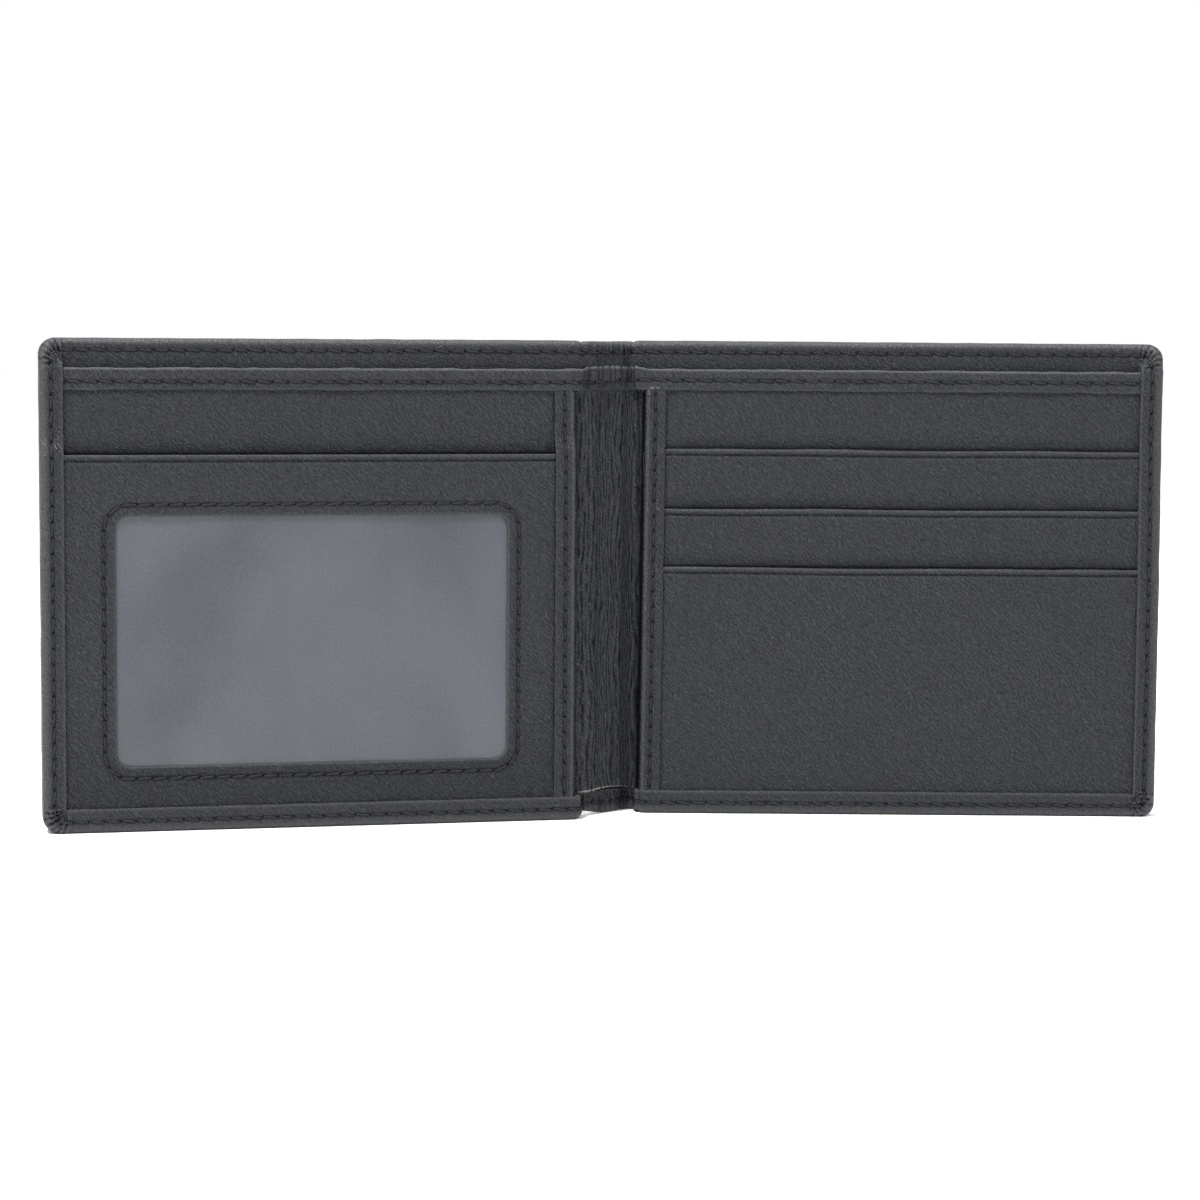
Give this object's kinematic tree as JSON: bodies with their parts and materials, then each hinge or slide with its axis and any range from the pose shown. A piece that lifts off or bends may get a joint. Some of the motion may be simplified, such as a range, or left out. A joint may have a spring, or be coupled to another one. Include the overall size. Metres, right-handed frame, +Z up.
{
  "type": "bifold wallet",
  "caption": "Leather bifold wallet standing open, with a clear card window pocket in one half and stepped card slots in the other, joined by a folding spine.",
  "frame": {"origin": "centre of the bounding box on the plane the bottom edge stands on", "axes": "+Z up along the wallet's height, +X from the window half towards the card slot half, the inside faces -Y"},
  "size_m": [0.2138, 0.0368, 0.0925],
  "materials": {
    "leather": "satin",
    "lining": "matte",
    "board": "matte",
    "film": "glossy",
    "thread": "matte"
  },
  "bodies": {
    "right_half": {"outer_cover_right": "leather", "stiffener_right": "board", "bill_lining_right": "lining", "divider_right": "leather", "divider_lining_right": "lining", "right_base_panel": "leather", "card_slot_1": "leather", "card_slot_2": "leather", "card_slot_3": "leather", "card_slot_lining_1": "lining", "card_slot_lining_2": "lining", "card_slot_lining_3": "lining", "right_edge_binding": "leather", "stitching_cover_right": "thread", "stitching_hem_right": "thread", "stitching_binding_right": "thread"},
    "spine": {"outer_cover_spine": "leather", "bill_lining_spine": "lining", "divider_spine": "leather", "stitching_cover_spine": "thread", "stitching_hem_spine": "thread"},
    "left_half": {"outer_cover_left": "leather", "stiffener_left": "board", "bill_lining_left": "lining", "divider_left": "leather", "divider_lining_left": "lining", "left_base_panel": "leather", "id_pocket_lining": "lining", "id_window_film": "film", "id_window_frame": "leather", "left_edge_binding": "leather", "stitching_cover_left": "thread", "stitching_hem_left": "thread", "stitching_window": "thread", "stitching_binding_left": "thread"}
  },
  "joints": [
    {"name": "spine_fold_right", "type": "hinge", "parent": "right_half", "child": "spine", "pos_m": [0.00362, 0.01813, 0], "axis": [0, 0, 1], "range_deg": [-41.5, 48.4]},
    {"name": "spine_fold_left", "type": "hinge", "parent": "spine", "child": "left_half", "pos_m": [-0.00599, 0.00962, 0], "axis": [0, 0, 1], "range_deg": [-4, 119]}
  ]
}
